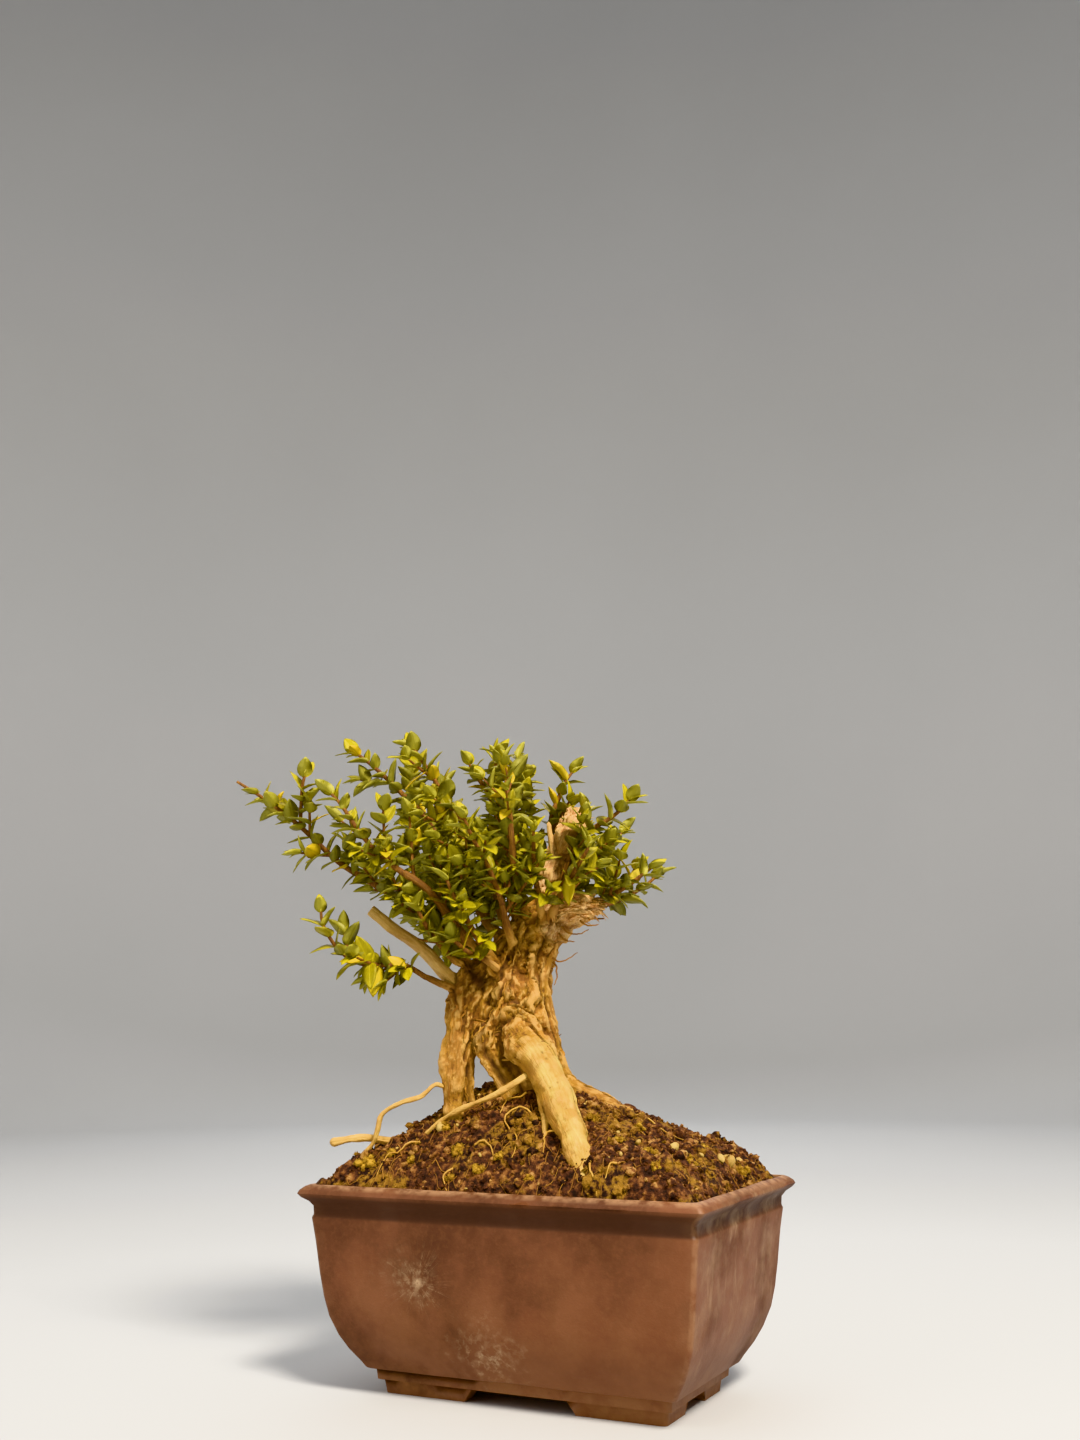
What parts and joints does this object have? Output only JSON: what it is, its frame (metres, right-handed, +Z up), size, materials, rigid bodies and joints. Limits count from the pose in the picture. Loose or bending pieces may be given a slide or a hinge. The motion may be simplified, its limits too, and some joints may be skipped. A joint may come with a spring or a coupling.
{
  "type": "honeysuckle bonsai in pot",
  "caption": "Small honeysuckle bonsai with a forked trunk, bare roots and leafy shoots, growing from heaped soil in a rectangular brown clay training pot.",
  "frame": {"origin": "centre of the whole plant and pot's bounding box, on the surface the pot's feet stand on", "axes": "+X along the pot's long side, to the right when seen from the front, -Y out of the front, +Z up"},
  "size_m": [0.1758, 0.1244, 0.2406],
  "materials": {
    "clay": "matte",
    "soil": "matte",
    "bark": "matte",
    "leaves": "satin",
    "mesh": "matte"
  },
  "bodies": {
    "root": {"drain_mesh_left": "mesh", "drain_mesh_right": "mesh", "inner_spray_0": "leaves", "inner_spray_1": "leaves", "inner_spray_10": "leaves", "inner_spray_11": "leaves", "inner_spray_12": "leaves", "inner_spray_13": "leaves", "inner_spray_14": "leaves", "inner_spray_15": "leaves", "inner_spray_16": "leaves", "inner_spray_17": "leaves", "inner_spray_18": "leaves", "inner_spray_19": "leaves", "inner_spray_2": "leaves", "inner_spray_20": "leaves", "inner_spray_21": "leaves", "inner_spray_22": "leaves", "inner_spray_23": "leaves", "inner_spray_3": "leaves", "inner_spray_4": "leaves", "inner_spray_5": "leaves", "inner_spray_6": "leaves", "inner_spray_7": "leaves", "inner_spray_8": "leaves", "inner_spray_9": "leaves", "long_shoot_0": "leaves", "long_shoot_1": "leaves", "long_shoot_10": "leaves", "long_shoot_11": "leaves", "long_shoot_12": "leaves", "long_shoot_13": "leaves", "long_shoot_14": "leaves", "long_shoot_15": "leaves", "long_shoot_16": "leaves", "long_shoot_17": "leaves", "long_shoot_18": "leaves", "long_shoot_19": "leaves", "long_shoot_2": "leaves", "long_shoot_20": "leaves", "long_shoot_21": "leaves", "long_shoot_3": "leaves", "long_shoot_4": "leaves", "long_shoot_6": "leaves", "long_shoot_7": "leaves", "long_shoot_8": "leaves", "long_shoot_9": "leaves", "pot": "clay", "soil": "soil", "trunk": "bark"}
  },
  "joints": []
}
